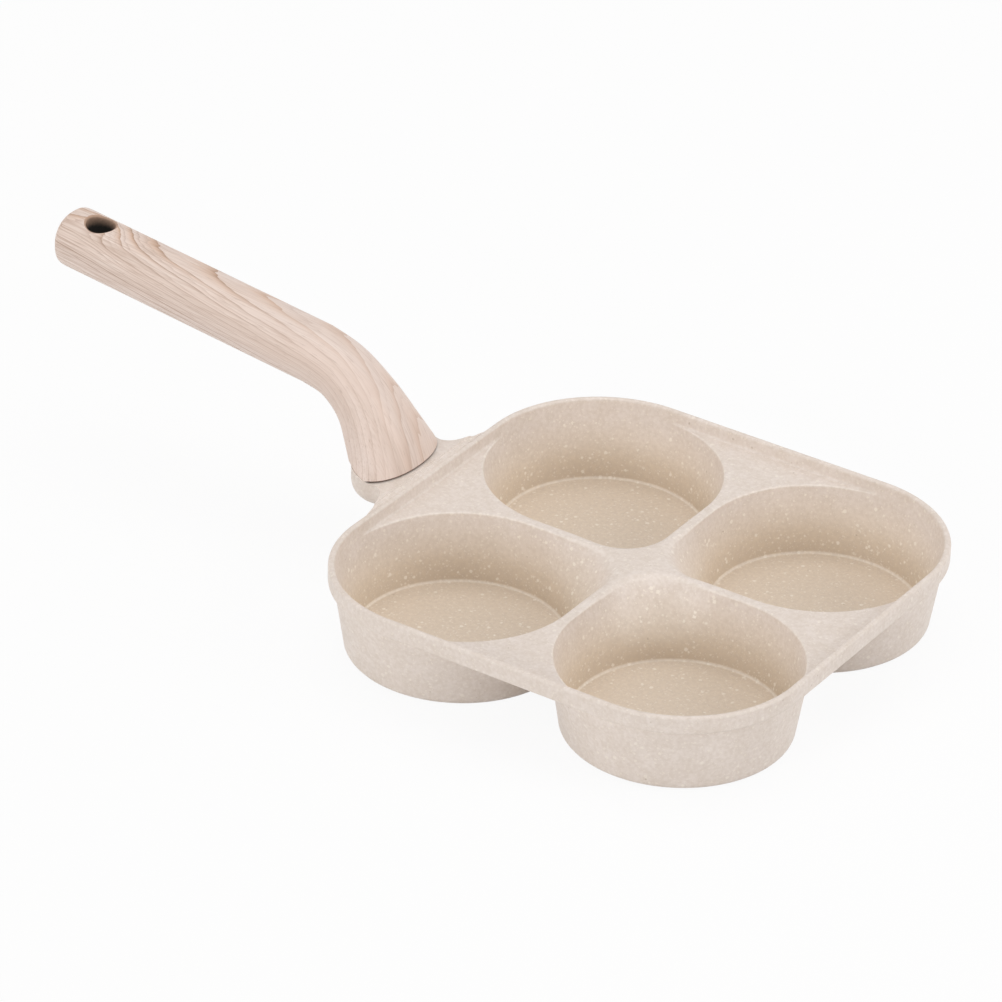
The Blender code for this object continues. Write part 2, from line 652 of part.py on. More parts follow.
def build_screw(finish, screw_axis, head_top):
    """The screw, pointing up, with a domed head and a cross slot."""
    head_low = head_top - SCREW_HEAD_HEIGHT
    tip = head_top + SCREW_LENGTH
    dome_height = SCREW_HEAD_HEIGHT - SCREW_HEAD_EDGE
    dome = [(radius * SCREW_HEAD_RADIUS, head_low + dome_height * (1 - height))
            for radius, height in arc((0, 0), 1, 0, 75, 2 * ROUND_STEPS)]
    screw = turned([(0, tip), (SCREW_RADIUS - SCREW_POINT, tip), (SCREW_RADIUS, tip - SCREW_POINT),
                    (SCREW_RADIUS, head_top), (SCREW_HEAD_RADIUS, head_top), *dome, (0, head_low)],
                   "handle_screw", FASTENER_SIDES, finish, screw_axis)
    for turn in (0, 1):
        name = f"driver_slot_{turn}"
        slot_data = block(name, SCREW_HEAD_RADIUS, SCREW_SLOT_WIDTH, head_low - FIT,
                          head_low + SCREW_SLOT_DEPTH)
        slot = cutter(slot_data, name, screw_axis)
        slot.rotation_euler = (0, 0, turn * math.pi / 2)
        boolean(screw, slot, "DIFFERENCE")
    smooth(screw)


def build_insert(finish, screw_axis):
    """The grooved insert in the handle's foot, which takes the screw."""
    low = FIT
    top = low + INSERT_LENGTH
    bore = SCREW_RADIUS + FIT
    groove = INSERT_RADIUS - INSERT_GROOVE
    first, second, third, fourth = [low + INSERT_LENGTH * share for share in GROOVE_SHARES]
    profile = [(INSERT_RADIUS, top), (INSERT_RADIUS, fourth), (groove, fourth), (groove, third),
               (INSERT_RADIUS, third), (INSERT_RADIUS, second), (groove, second), (groove, first),
               (INSERT_RADIUS, first), (INSERT_RADIUS, low), (bore, low), (bore, top)]
    smooth(turned(profile, "threaded_insert", FASTENER_SIDES, finish, screw_axis))


def build_discs(finish, origin):
    """A steel disc in the base of each cup."""
    profile = [(0, DISC_THICKNESS), (DISC_RADIUS, DISC_THICKNESS), (DISC_RADIUS, DISC_EDGE),
               (DISC_RADIUS - DISC_EDGE, 0), (0, 0)]
    for quarter, (side_x, side_y) in QUARTERS.items():
        disc = turned(profile, f"induction_disc_{quarter}", DISC_SIDES, finish, origin)
        disc.location = (side_x * CUP_OFFSET, side_y * CUP_OFFSET, 0)
        smooth(disc)


def build():
    """Clear the scene and make the whole pan."""
    for old in list(bpy.data.objects):
        bpy.data.objects.remove(old, do_unlink=True)
    collection(PARTS)
    collection(CUTTERS)
    coating = material("stone_coating", (0.74, 0.67, 0.58), 0.5)
    wood_grain = material("wood_grain_moulding", (0.72, 0.58, 0.50), 0.45)
    steel = material("bright_steel", (0.62, 0.61, 0.60), 0.3, 1.0)
    brass = material("brass", (0.78, 0.62, 0.34), 0.35, 1.0)

    origin = place(None, "pan_middle", PARTS, None)
    origin.location = (pan_x(), 0, 0)
    screw_axis = place(None, "screw_axis", PARTS, origin)
    screw_axis.location = (-HALF_WIDTH - FOOT_OUT, 0, INSERT_Z)

    build_casting(coating, origin, screw_axis)
    build_handle(wood_grain, origin, screw_axis)
    washers_low = build_washers(steel, screw_axis)
    build_screw(steel, screw_axis, washers_low - FIT)
    build_insert(brass, screw_axis)
    build_discs(steel, origin)


build()
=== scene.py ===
"""The looks of a four-cup egg pan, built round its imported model.

The file follows the pan as it is put together: the casting and its coating, the steel discs in its base, the
handle, the screw that holds it, and then the studio. Lengths are metres and angles are radians, where nothing
else is said. +Z is up, and the handle runs toward -X.
"""

import math

import bmesh
import bpy
from mathutils import Matrix, Vector


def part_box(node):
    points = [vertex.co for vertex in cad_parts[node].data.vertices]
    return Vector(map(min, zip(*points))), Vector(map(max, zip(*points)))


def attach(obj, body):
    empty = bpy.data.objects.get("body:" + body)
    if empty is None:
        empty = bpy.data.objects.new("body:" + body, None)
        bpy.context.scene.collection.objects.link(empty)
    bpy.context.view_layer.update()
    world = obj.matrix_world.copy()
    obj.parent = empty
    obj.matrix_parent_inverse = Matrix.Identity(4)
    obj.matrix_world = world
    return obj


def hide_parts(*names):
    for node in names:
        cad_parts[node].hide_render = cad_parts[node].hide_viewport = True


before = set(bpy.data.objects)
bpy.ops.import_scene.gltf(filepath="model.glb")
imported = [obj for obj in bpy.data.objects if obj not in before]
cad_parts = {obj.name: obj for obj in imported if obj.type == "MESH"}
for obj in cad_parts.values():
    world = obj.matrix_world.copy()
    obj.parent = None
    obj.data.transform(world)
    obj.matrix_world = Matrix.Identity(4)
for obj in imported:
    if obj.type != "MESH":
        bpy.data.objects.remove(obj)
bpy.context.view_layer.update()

# The casting. Four cups, the recessed deck between them, the raised rim and the handle's seat are one die
# casting in aluminium. It is made here as its tool is cut: a rounded slab takes on the cups and the seat, and
# the pocket over the deck and the four cavities are then taken out of it.

half_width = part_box("pan_casting")[1][1]
pan_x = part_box("pan_casting")[1][0] - half_width
cup_offset = 0.053
cup_sides = 144
floor_radius = 0.0447
floor_height = 0.0033
wall_slope = math.tan(math.radians(11.6))
wall_foot = 0.0033
wall_top = 0.0018
deck_height = 0.0330
deck_thickness = 0.0025
deck_fillet = 0.0011
rim_height = 0.0385
rim_thickness = 0.0026
rim_round = 0.0012
skirt_round = 0.0014
base_height = 0.0004
base_fillet = 0.0030
disc_recess_radius = 0.0383
disc_recess_height = 0.0013
inner_corner_radius = 0.0222
flare_start = 0.0060
flare_power = 1.3
opening_radius = floor_radius + (deck_height - floor_height) * wall_slope
rim_inner_radius = floor_radius + (rim_height - floor_height) * wall_slope
rim_round_start = floor_radius + (rim_height - rim_round - floor_height) * wall_slope
deck_underside = deck_height - deck_thickness
corner_steps = 44
clear_over_rim = rim_height + rim_thickness


def alone(made):
    """Select one object and nothing else."""
    bpy.ops.object.select_all(action="DESELECT")
    made.select_set(True)
    bpy.context.view_layer.objects.active = made


def pick_edges(made, wanted):
    """In edit mode, select the edges that a test picks, and nothing else."""
    bpy.ops.mesh.select_mode(type="EDGE")
    bpy.ops.mesh.select_all(action="DESELECT")
    shape = bmesh.from_edit_mesh(made.data)
    for edge in shape.edges:
        edge.select_set(wanted(edge))
    bmesh.update_edit_mesh(made.data)


def rounded_slab(name, half_side, low, high, corner):
    """A square slab with round upright corners, left in edit mode."""
    bpy.ops.object.select_all(action="DESELECT")
    bpy.ops.mesh.primitive_cube_add(size=1, location=(0, 0, (low + high) / 2))
    made = bpy.context.object
    made.name = name
    bpy.ops.object.mode_set(mode="EDIT")
    bpy.ops.transform.resize(value=(2 * half_side, 2 * half_side, high - low))
    pick_edges(made, lambda edge: abs(edge.verts[0].co.z - edge.verts[1].co.z) > (high - low) / 2)
    bpy.ops.mesh.bevel(offset=corner, segments=corner_steps, profile=0.5, affect="EDGES", clamp_overlap=False)
    return made


def round_at_height(made, height, radius, steps):
    """In edit mode, round the edges of a slab that lie at one height of its own mesh."""
    level = height - made.location.z
    near = 0.00001
    pick_edges(made, lambda edge: all(abs(vert.co.z - level) < near for vert in edge.verts))
    bpy.ops.mesh.bevel(offset=radius, segments=steps, profile=0.5, affect="EDGES", clamp_overlap=False)


def drawn_out(name, rings):
    """A closed body that starts as a circle and is extruded from ring to ring."""
    bpy.ops.object.select_all(action="DESELECT")
    bpy.ops.mesh.primitive_circle_add(vertices=len(rings[0]), radius=1, fill_type="NGON")
    made = bpy.context.object
    made.name = name
    bpy.ops.object.mode_set(mode="EDIT")
    bpy.ops.mesh.select_mode(type="FACE")
    bpy.ops.mesh.select_all(action="SELECT")
    shape = bmesh.from_edit_mesh(made.data)
    place = shape.verts.layers.int.new("place")
    shape.faces.ensure_lookup_table()
    for index, corner in enumerate(shape.faces[0].verts):
        corner[place] = index
        corner.co = rings[0][index]
    bmesh.update_edit_mesh(made.data)
    for ring in rings[1:]:
        bpy.ops.mesh.extrude_region_move()
        shape = bmesh.from_edit_mesh(made.data)
        place = shape.verts.layers.int["place"]
        for corner in shape.verts:
            if corner.select:
                corner.co = ring[corner[place]]
        bmesh.update_edit_mesh(made.data)
    bpy.ops.mesh.select_all(action="SELECT")
    bpy.ops.mesh.normals_make_consistent(inside=False)
    bpy.ops.object.mode_set(mode="OBJECT")
    made.data.attributes.remove(made.data.attributes["place"])
    return made


def combine(made, other, operation):
    """Join another body to a piece or cut it away, and use it up. Cut faces take the cutter's material."""
    alone(made)
    cut = made.modifiers.new(other.name, "BOOLEAN")
    cut.operation = operation
    cut.solver = "EXACT"
    cut.material_mode = "TRANSFER"
    cut.object = other
    bpy.ops.object.modifier_apply(modifier=cut.name)
    bpy.data.objects.remove(other)


def arc(centre, radius, first, last, count):
    """Points round part of a circle, between two angles in degrees."""
    angles = [math.radians(first + (last - first) * step / (count - 1)) for step in range(count)]
    return [(centre[0] + radius * math.cos(angle), centre[1] + radius * math.sin(angle)) for angle in angles]


def opening_reach(angle):
    """A cup's opening: round outside, and a square corner with a large radius toward the pan's middle."""
    across = -math.cos(angle)
    along = -math.sin(angle)
    if across <= 0 or along <= 0:
        return opening_radius
    centre = opening_radius - inner_corner_radius
    flat = opening_radius / max(across, along)
    if flat * min(across, along) <= centre:
        return flat
    spread = centre * (across + along)
    return spread + math.sqrt(spread ** 2 - 2 * centre ** 2 + inner_corner_radius ** 2)


def wall_reach(angle, height, foot, thickness):
    """The cup wall's distance from its axis: a cone that flares toward the inner corner near the deck."""
    share = (height - floor_height) / (deck_height - floor_height)
    climb = (height - floor_height - flare_start) / (deck_height - floor_height - flare_start)
    cone = foot + (opening_radius + thickness - foot) * share
    return cone + (opening_reach(angle) - opening_radius) * max(0.0, climb) ** flare_power


def beside_deck(angle):
    """One where a cup's wall meets the deck, and zero where it runs up the rim."""
    deck_from = 0.35
    held = min(1.0, max(0.0, max(-math.cos(angle), -math.sin(angle)) / deck_from))
    return held * held * (3 - 2 * held)


def cavity_profile(angle):
    """The inside of a cup at one angle, from the floor up, as (distance from the axis, height)."""
    floor_fillet = 0.0012
    edge_round = 0.0009
    corner_round = 0.0040
    corner_flare = opening_reach(math.radians(225)) - opening_radius
    flared = (opening_reach(angle) - opening_radius) / corner_flare
    roll = edge_round + (corner_round - edge_round) * flared ** 2
    points = arc((floor_radius - floor_fillet, floor_height + floor_fillet), floor_fillet, -90, -10, 7)
    low = floor_height + flare_start
    high = deck_height - roll
    wall_steps = 9
    for step in range(wall_steps):
        height = low + (high - low) * step / (wall_steps - 1)
        points.append((wall_reach(angle, height, floor_radius, 0), height))
    below_roll = points[-1][0]
    top = wall_reach(angle, deck_height, floor_radius, 0)
    edge = top + roll * beside_deck(angle)
    roll_steps = 8
    for step in range(1, roll_steps + 1):
        share = step / roll_steps
        past = 1 - share
        points.append((past ** 2 * below_roll + 2 * share * past * top + share ** 2 * edge,
                       past ** 2 * high + (2 * share * past + share ** 2) * deck_height))
    rise = rim_round_start + (edge - rim_round_start) * beside_deck(angle)
    points += arc((rise + rim_round, rim_height - rim_round), rim_round, 180, 96, 6)
    return points + [(rise + rim_round, clear_over_rim)]


def body_profile(angle):
    """The outside of a cup at one angle, from the recess for its steel disc up into the deck."""
    foot = floor_radius + wall_foot
    points = [(disc_recess_radius, disc_recess_height), (disc_recess_radius, base_height)]
    points += arc((foot - base_fillet, base_height + base_fillet), base_fillet, -90, -3, 9)
    low = floor_height + flare_start
    high = deck_underside - deck_fillet
    wall_steps = 7
    for step in range(wall_steps):
        height = low + (high - low) * step / (wall_steps - 1)
        points.append((wall_reach(angle, height, foot, wall_top), height))
    points += arc((points[-1][0] + deck_fillet, high), deck_fillet, 160, 96, 5)
    return points + [(points[-1][0], deck_underside + deck_thickness / 2)]


def cup_shape(name, profile):
    """One cup's inside or outside, drawn out round its axis from a profile for each angle."""
    angles = [2 * math.pi * index / cup_sides for index in range(cup_sides)]
    outlines = [profile(angle) for angle in angles]
    rings = []
    for level in range(len(outlines[0])):
        ring = []
        for angle, outline in zip(angles, outlines):
            reach, height = outline[level]
            ring.append(Vector((cup_offset + reach * math.cos(angle),
                                cup_offset + reach * math.sin(angle), height)))
        rings.append(ring)
    return drawn_out(name, rings)


def in_each_quarter(made):
    """A cup's shape and its three mirrored copies, one for each quarter of the pan."""
    copies = [made]
    for side_x, side_y in ((-1, 1), (-1, -1), (1, -1)):
        mirrored = made.copy()
        mirrored.data = made.data.copy()
        mirrored.data.transform(Matrix.Diagonal((side_x, side_y, 1, 1)))
        if side_x * side_y < 0:
            mirrored.data.flip_normals()
        bpy.context.collection.objects.link(mirrored)
        copies.append(mirrored)
    return copies


casting = rounded_slab("casting_surface", half_width, deck_underside, rim_height,
                       rim_inner_radius + rim_thickness)
round_at_height(casting, rim_height, rim_round, 5)
round_at_height(casting, deck_underside, skirt_round, 6)
bpy.ops.object.mode_set(mode="OBJECT")
for cup in in_each_quarter(cup_shape("cup_body", body_profile)):
    combine(casting, cup, "UNION")

# The handle's seat: a bowl that grows out of the rim and flares into it, level on top and then climbing to
# its rear lip.
seat_height = 0.0400
seat_reach = 0.0030
lip_reach = 0.0125
lip_run = 0.0115
lip_rise = 0.0040
foot_half_width = 0.0252
foot_half_depth = 0.0130
foot_squareness = 2.1
foot_out = seat_reach + foot_half_depth
neck_half_width = 0.0232
neck_blend = 0.0030
root_half_width = 0.0440
root_flare = 0.0028
root_corner = 0.0015
level_half_width = 0.0178
side_fall = 0.0010
bowl_squareness = 2.8
# Two small distances that keep faces from lying in one plane.
small_gap = 0.00015
hair = 0.00004
# The bowl's rows have their place along the foot and their depth below the seat. The root's have their reach
# from the rim, their rise to the seat, and how far their lower side has climbed to the deck's underside.
bowl = [(0.985, 0.0008), (0.85, 0.0052), (0.52, 0.0107), (0.02, 0.0143), (-0.48, 0.0155), (-0.83, 0.0148),
        (-1.0, 0.0138)]
root = [(0.5, 0.85, 0.1), (0.07, 0.3, 0.3), (-0.45, -0.4, 0.6), (-2.2, -2.0, 1.0)]


def between(keys, position):
    """A smooth row of values through evenly spaced rows, at a position counted in rows."""
    first = min(len(keys) - 2, max(0, int(position)))
    share = position - first
    row = []
    for field in range(len(keys[0])):
        before = keys[max(0, first - 1)][field]
        start = keys[first][field]
        end = keys[first + 1][field]
        after = keys[min(len(keys) - 1, first + 2)][field]
        leave = (end - before) / 2
        arrive = (after - start) / 2
        row.append((2 * share ** 3 - 3 * share ** 2 + 1) * start
                   + (share ** 3 - 2 * share ** 2 + share) * leave
                   + (3 * share ** 2 - 2 * share ** 3) * end + (share ** 3 - share ** 2) * arrive)
    return row


def flare_share(out):
    """How far the seat has flared: all the way at the rim, and next to nothing under the handle's foot."""
    return math.exp(-max(0.0, out) / root_flare)


def seat_half_width(out):
    """Half the seat's width: the foot's own oval at the back, flaring out to the rim in front."""
    part = abs(out - foot_out) / foot_half_depth
    oval = foot_half_width * max(0.0, 1 - part ** foot_squareness) ** (1 / foot_squareness)
    if out > foot_out:
        return oval
    flare = neck_half_width + (root_half_width - neck_half_width) * flare_share(out)
    meeting = max(0.0, neck_blend - abs(oval - flare)) / neck_blend
    return max(oval, flare) + neck_blend * meeting ** 2 / 4


def seat_top(out, across, top):
    """The seat's height at a distance across the pan: a little over the faces it is cut to, or less."""
    below_nominal = 0.0001
    over_cut = seat_height - below_nominal + max(0.0, out - lip_reach)
    narrowest = 0.0003
    sloping = max(narrowest, seat_half_width(out) - level_half_width)
    share = max(0.0, abs(across) - level_half_width) / sloping
    return min(top, over_cut) - side_fall * share ** 2 * flare_share(out)


def seat_ring(out, top, bottom):
    """One upright ring of the seat: a bowl below, straight sides and round upper corners."""
    half = seat_half_width(out)
    least_corner = 0.00003
    corner = min(root_corner * flare_share(out) + least_corner, half / 3)
    side = seat_top(out, half - corner, top) - corner
    straight_share = 0.9
    middle = min(side, bottom + (min(top, seat_height) - bottom) * straight_share)
    power = 2 / bowl_squareness
    ring = []
    bowl_steps = 40
    for step in range(bowl_steps + 1):
        angle = math.pi * (1 + step / bowl_steps)
        across = half * math.copysign(abs(math.cos(angle)) ** power, math.cos(angle))
        ring.append((across, middle - (middle - bottom) * abs(math.sin(angle)) ** power))
    ring += arc((half - corner, side), corner, 10, 80, 5)
    top_steps = 20
    for step in range(1, top_steps):
        across = half * (1 - 2 * step / top_steps)
        ring.append((across, seat_top(out, across, top)))
    ring += arc((corner - half, side), corner, 100, 170, 5)
    return [Vector((-half_width - out, across, height)) for across, height in ring]


def seat_prism(name, offset, lip_offset, upper):
    """The space above or below the seat's faces: level in front, then climbing to the level rear lip. One
    offset moves the front face up, and the other all that comes after a short step at the climb's foot."""
    foot = Vector((-half_width - lip_reach, 0, seat_height))
    reach = 3 * foot_half_depth
    lip = foot + Vector((-lip_run, 0, lip_rise))
    far = Vector((0, 0, reach if upper else -reach))
    up = Vector((0, 0, offset))
    lip_up = Vector((0, 0, lip_offset))
    step_share = 0.12
    step = foot.lerp(lip, step_share) + lip_up
    front = foot + Vector((reach, 0, 0)) + up
    rear = lip - Vector((reach, 0, 0)) + lip_up
    outline = [front, foot + up, step, lip + lip_up, rear, rear + far, front + far]
    side = Vector((0, 2 * foot_half_width, 0))
    return drawn_out(name, [[corner - side for corner in outline], [corner + side for corner in outline]])


cut_allowance = 0.006
uncut = seat_height + cut_allowance
seat_keys = [(foot_out + along * foot_half_depth, uncut, seat_height - depth) for along, depth in bowl]
bowl_front = seat_keys[-1][2]
for reach, rise, climb in root:
    seat_keys.append((reach * seat_reach, rim_height + rise * (seat_height - rim_height),
                      bowl_front + (deck_underside + small_gap - bowl_front) * climb))
seat_steps = 60
seat = drawn_out("seat", [seat_ring(*between(seat_keys, (len(seat_keys) - 1) * step / seat_steps))
                          for step in range(seat_steps + 1)])
combine(seat, seat_prism("above_seat", -small_gap, -hair, True), "DIFFERENCE")
combine(casting, seat, "UNION")


def pocket_profile():
    """The pocket's leaning side from the deck up, as (distance from a cup's axis, height)."""
    fillet = 0.0012
    foot = floor_radius + (deck_height + fillet - floor_height) * wall_slope - hair
    top = rim_round_start - hair
    points = arc((foot - fillet, deck_height + fillet), fillet, -90, -6, 6)
    points += arc((top + rim_round, rim_height - rim_round), rim_round, 180, 96, 6)
    return points + [(top + rim_round, clear_over_rim)]


def pocket_ring(reach, height):
    """One level ring of the pocket over the deck: a square whose round corners have the cups' own axes."""
    ring = []
    for corner, (side_x, side_y) in enumerate(((1, 1), (-1, 1), (-1, -1), (1, -1))):
        centre = (side_x * cup_offset, side_y * cup_offset)
        ring += [Vector((x, y, height))
                 for x, y in arc(centre, reach, 90 * corner, 90 * (corner + 1), corner_steps + 1)]
    return ring


pocket = drawn_out("deck_pocket", [pocket_ring(reach, height) for reach, height in pocket_profile()])
combine(casting, pocket, "DIFFERENCE")
for cavity in in_each_quarter(cup_shape("cup_cavity", cavity_profile)):
    combine(casting, cavity, "DIFFERENCE")

# The screw's two bores in the seat. The washers press on the face between them.
washer_face = 0.0359
shank_hole_radius = 0.0028
shank_hole_foot = 0.0291
shank_hole_top = 0.0495
head_bore_radius = 0.0059
head_bore_foot = 0.0159


def bored(made, name, radius, low, high):
    """Bore a piece on the screw's upright axis."""
    bpy.ops.object.select_all(action="DESELECT")
    sides = 64
    bpy.ops.mesh.primitive_cylinder_add(vertices=sides, radius=radius, depth=high - low,
                                        location=(-half_width - foot_out, 0, (low + high) / 2))
    bore = bpy.context.object
    bore.name = name
    combine(made, bore, "DIFFERENCE")


bored(casting, "shank_hole", shank_hole_radius, shank_hole_foot, shank_hole_top)
bored(casting, "head_bore", head_bore_radius, head_bore_foot, washer_face)


def finished(made, material, nodes, sharp=math.radians(32)):
    """Put a piece's place in its mesh, shade it, and tie it to the nodes that it stands for."""
    alone(made)
    bpy.ops.object.transform_apply(location=True, rotation=True, scale=True)
    bpy.ops.object.shade_smooth_by_angle(angle=sharp)
    weighted = made.modifiers.new("level_faces", "WEIGHTED_NORMAL")
    weighted.keep_sharp = True
    bpy.ops.object.modifier_apply(modifier=weighted.name)
    if material:
        made.data.materials.clear()
        made.data.materials.append(material)
    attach(made, "root")
    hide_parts(*nodes)


# The coating: a sprayed non-stick in warm stone white, with dense cream flecks, a few dark ones and a soft
# orange-peel surface.

to_millimetres = 1000


class Socket:
    """An output of one of a material's nodes, which Python's operators carry on with Math nodes."""

    def __init__(self, tree, output=None):
        self.tree = tree
        self.output = output

    def node(self, kind, values, settings=None, result=0):
        """Add a node: its settings first, and then the values or links of its sockets."""
        made = self.tree.nodes.new(kind)
        for name, value in (settings or {}).items():
            setattr(made, name, value)
        for name, value in values.items():
            if isinstance(value, Socket):
                self.tree.links.new(value.output, made.inputs[name])
            else:
                made.inputs[name].default_value = value
        return Socket(self.tree, made.outputs[result])

    def beside(self, name):
        """Another output of the same node."""
        return Socket(self.tree, self.output.node.outputs[name])

    def maths(self, operation, other=0.0):
        """A Math node on this value, and on another one where the operation takes two."""
        return self.node("ShaderNodeMath", {0: self, 1: other}, {"operation": operation})

    def from_other(self, operation, other):
        """A Math node on a number first, and then on this value."""
        return self.node("ShaderNodeMath", {0: other, 1: self}, {"operation": operation})

    def __add__(self, other):
        return self.maths("ADD", other)

    def __radd__(self, other):
        return self.maths("ADD", other)

    def __sub__(self, other):
        return self.maths("SUBTRACT", other)

    def __rsub__(self, other):
        return self.from_other("SUBTRACT", other)

    def __mul__(self, other):
        return self.maths("MULTIPLY", other)

    def __rmul__(self, other):
        return self.maths("MULTIPLY", other)

    def __truediv__(self, other):
        return self.maths("DIVIDE", other)

    def __rtruediv__(self, other):
        return self.from_other("DIVIDE", other)

    def __pow__(self, other):
        return self.maths("POWER", other)

    def __rpow__(self, other):
        return self.from_other("POWER", other)

    def held(self, low=0.0, high=1.0):
        """Zero at the low value, one at the high one, and held at both."""
        return self.node("ShaderNodeMapRange", {"Value": self, "From Min": low, "From Max": high})

    def scaled(self, size):
        """A vector times one number or three."""
        if isinstance(size, tuple):
            return self.node("ShaderNodeVectorMath", {0: self, 1: size}, {"operation": "MULTIPLY"})
        return self.node("ShaderNodeVectorMath", {0: self, "Scale": size}, {"operation": "SCALE"})

    def moved(self, by):
        """A vector with another vector added."""
        return self.node("ShaderNodeVectorMath", {0: self, 1: by}, {"operation": "ADD"})

    def parts(self):
        """A vector's X, with its Y and Z beside it."""
        return self.node("ShaderNodeSeparateXYZ", {0: self})

    def blend(self, first, second):
        """Two colours mixed by this share, from all of the first at zero to all of the second at one."""
        return self.node("ShaderNodeMix", {0: self, 6: first, 7: second}, {"data_type": "RGBA"}, result=2)

    def toward(self, other, share):
        """This colour mixed toward another one."""
        return share.blend(self, other)

    def noise(self, size, detail=2.0, result=0):
        """Smooth noise over this vector, in lumps of about the given size."""
        return self.node("ShaderNodeTexNoise", {"Vector": self, "Scale": 1 / size, "Detail": detail},
                         result=result)

    def relief(self, strength, depth):
        """The surface's normal, raised where this value is high."""
        return self.node("ShaderNodeBump", {"Height": self, "Strength": strength, "Distance": depth})

    def place(self):
        """The point's own place in metres."""
        return self.node("ShaderNodeTexCoord", {}, result="Object")

    def kept(self, name, result="Fac"):
        """What the mesh keeps under a name at each of its points."""
        return self.node("ShaderNodeAttribute", {}, {"attribute_name": name}, result=result)


def colour(red, green, blue):
    """A colour as a screen shows it, from 0 to 255, turned into the shader's linear values."""
    linear = []
    for value in (red / 255, green / 255, blue / 255):
        linear.append(value / 12.92 if value <= 0.04045 else ((value + 0.055) / 1.055) ** 2.4)
    return (*linear, 1.0)


def new_material(name):
    """A material with its shader, and a socket to start its nodes from."""
    made = bpy.data.materials.new(name)
    made.use_nodes = True
    shader = made.node_tree.nodes["Principled BSDF"]
    return made, shader, Socket(made.node_tree)


def feed(shader, values):
    """Set or link the shader's own sockets."""
    for name, value in values.items():
        if isinstance(value, Socket):
            value.tree.links.new(value.output, shader.inputs[name])
        else:
            shader.inputs[name].default_value = value


def flecks(place, cell, least, most, share):
    """Flecks scattered one to a cell: a share of the cells holds one, from the least to the most radius."""
    softness = 0.65
    cells = place.node("ShaderNodeTexVoronoi", {"Vector": place, "Scale": 1 / cell})
    chances = cells.node("ShaderNodeSeparateColor", {0: cells.beside("Color")})
    size = (chances * (most - least) + least) / cell
    edge = softness * least / cell
    return ((size - cells) / edge).held() * chances.beside(1).maths("LESS_THAN", share)


def stone_coating():
    """The casting's sprayed coating. Its colour holds painted shade: warmer and a little darker down in the
    cups, darker low on their walls and on their floors, with a painted highlight round the floors' edges and
    along the cups' edges by the deck. Each kind of fleck has its cells' size, its radii and its share of the
    cells."""
    made, shader, start = new_material("stone_coating")
    millimetres = start.place().scaled(to_millimetres)
    ragged = millimetres.noise(0.7, 1.0, result=1).scaled(0.9)
    place = millimetres.moved(ragged)
    small = flecks(place, 1.0, 0.20, 0.42, 0.75)
    middling = flecks(place, 1.8, 0.32, 0.66, 0.58)
    large = flecks(place, 3.3, 0.56, 1.05, 0.40)
    dark = flecks(place, 5.2, 0.30, 0.60, 0.22)
    cloud = millimetres.noise(9.0, 3.0).held(0.3, 0.7)
    grain = millimetres.noise(1.7, 1.0).held(0.3, 0.7)
    depth = start.kept("cup_depth")
    edge_highlight = start.kept("edge_highlight")
    inside_cup = depth.held(0.05, 0.15)
    wall_foot = depth.held(0.5, 0.93) * (1 - depth.held(0.955, 0.975))
    floor_edge_highlight = depth.held(0.958, 0.975) * (1 - depth.held(0.992, 1.0))
    painted_floor_shade = depth.held(0.99, 1.0)
    tint = cloud.blend(colour(224, 212, 202), colour(230, 219, 211))
    # Painted shade: a warmer, darker tint deeper in the cups, for the warm bounced light and shade inside
    # them.
    tint = tint.toward(colour(227, 212, 192), depth.held(0.1, 0.7) * 0.85)
    # Painted shade: a brown band low on the cup walls, darkest toward their feet.
    tint = tint.toward(colour(190, 168, 138), wall_foot * 0.38)
    # Painted shade: the cups' floors a little darker.
    tint = tint.toward(colour(212, 194, 172), painted_floor_shade * 0.25)
    # Painted highlight: a pale cream line round each floor's edge, on its fillet.
    tint = tint.toward(colour(240, 229, 214), floor_edge_highlight * 0.65)
    # Painted highlight: a pale line along the cups' edges by the deck, where they turn.
    tint = tint.toward(colour(246, 238, 230), edge_highlight * 0.50)
    tint = tint.toward(colour(200, 184, 168), grain * 0.34)
    tint = tint.toward(colour(238, 229, 218), small * 0.38)
    # The flecks stand out more inside the cups.
    tint = tint.toward(colour(243, 234, 221), middling * (inside_cup * 0.16 + 0.36))
    tint = tint.toward(colour(247, 239, 227), large * (inside_cup * 0.28 + 0.38))
    tint = tint.toward(colour(170, 150, 128), dark * 0.45)
    height = millimetres.noise(1.6, 2.0) + large * 0.25 + middling * 0.15
    feed(shader, {"Base Color": tint, "Roughness": 0.42 + grain * 0.08 - large * 0.12,
                  "Normal": height.relief(0.25, 0.00006), "IOR": 1.5})
    return made


def mark_coating(made):
    """Keep how deep each point lies inside a cup, and where an edge by the deck turns, for a painted
    highlight.
    """
    made.data.attributes.new("cup_depth", "FLOAT", "POINT")
    made.data.attributes.new("edge_highlight", "FLOAT", "POINT")
    near_floor = 0.0002
    below_deck = 0.0011
    above_deck = 0.00005
    halfway_turned = 0.65
    turned_spread = 0.35
    depths = []
    highlights = []
    for vertex, normal in zip(made.data.vertices, made.data.vertex_normals):
        point = vertex.co
        inward = Vector((math.copysign(cup_offset, point.x) - point.x,
                         math.copysign(cup_offset, point.y) - point.y)).normalized()
        on_floor = abs(point.z - floor_height) < near_floor and normal.vector.z > 0.5
        on_wall = floor_height <= point.z <= deck_height and normal.vector.xy.dot(inward) > 0.1
        share = 1 - (point.z - floor_height) / (deck_height - floor_height)
        depths.append(share if on_floor or on_wall else 0.0)
        # A painted highlight on the edges by the deck, strongest where the surface is half turned.
        by_deck = deck_height - below_deck < point.z < deck_height + above_deck
        turning = 1 - abs(normal.vector.z - halfway_turned) / turned_spread
        highlights.append(max(0.0, turning) if by_deck else 0.0)
    made.data.attributes["cup_depth"].data.foreach_set("value", depths)
    made.data.attributes["edge_highlight"].data.foreach_set("value", highlights)


